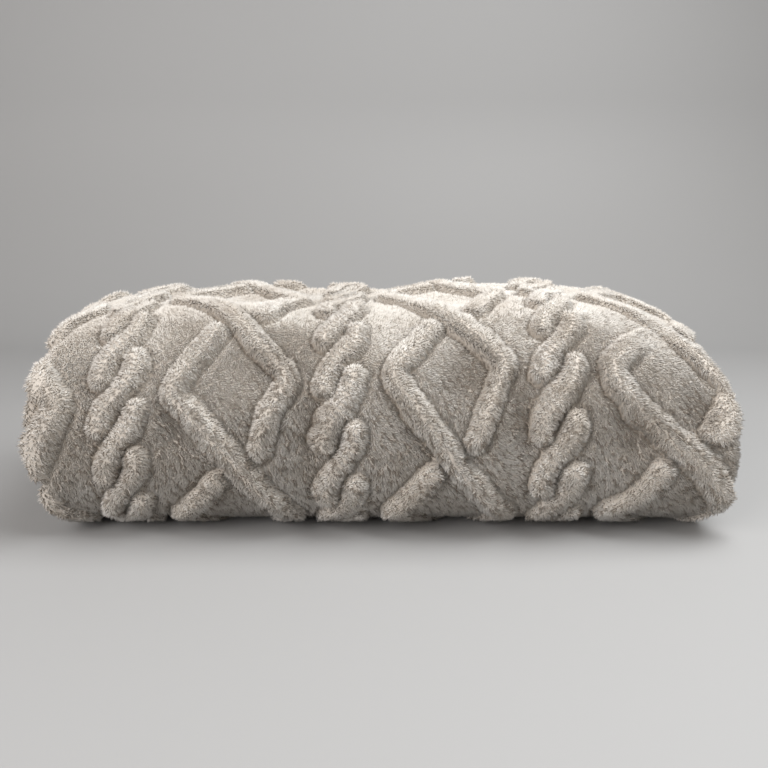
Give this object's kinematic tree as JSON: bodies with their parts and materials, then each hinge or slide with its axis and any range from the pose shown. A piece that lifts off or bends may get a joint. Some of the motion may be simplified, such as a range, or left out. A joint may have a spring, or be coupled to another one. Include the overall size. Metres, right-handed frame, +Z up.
{
  "type": "folded plush throw",
  "caption": "An off-white plush throw with a raised cable and diamond pattern, folded in thirds, doubled and rolled over into a low soft bundle.",
  "frame": {"origin": "On the surface that the throw lies on, under the middle of the bundle's box.", "axes": "+X runs along the bundle, to the right seen from its round front; +Y from the round front to the back; +Z up"},
  "size_m": [0.6224, 0.2762, 0.2062],
  "materials": {
    "plush": "thick short-pile plush, warm off-white, carved into cables and diamonds"
  },
  "bodies": {
    "root": {"throw_cloth": "plush"}
  },
  "joints": []
}
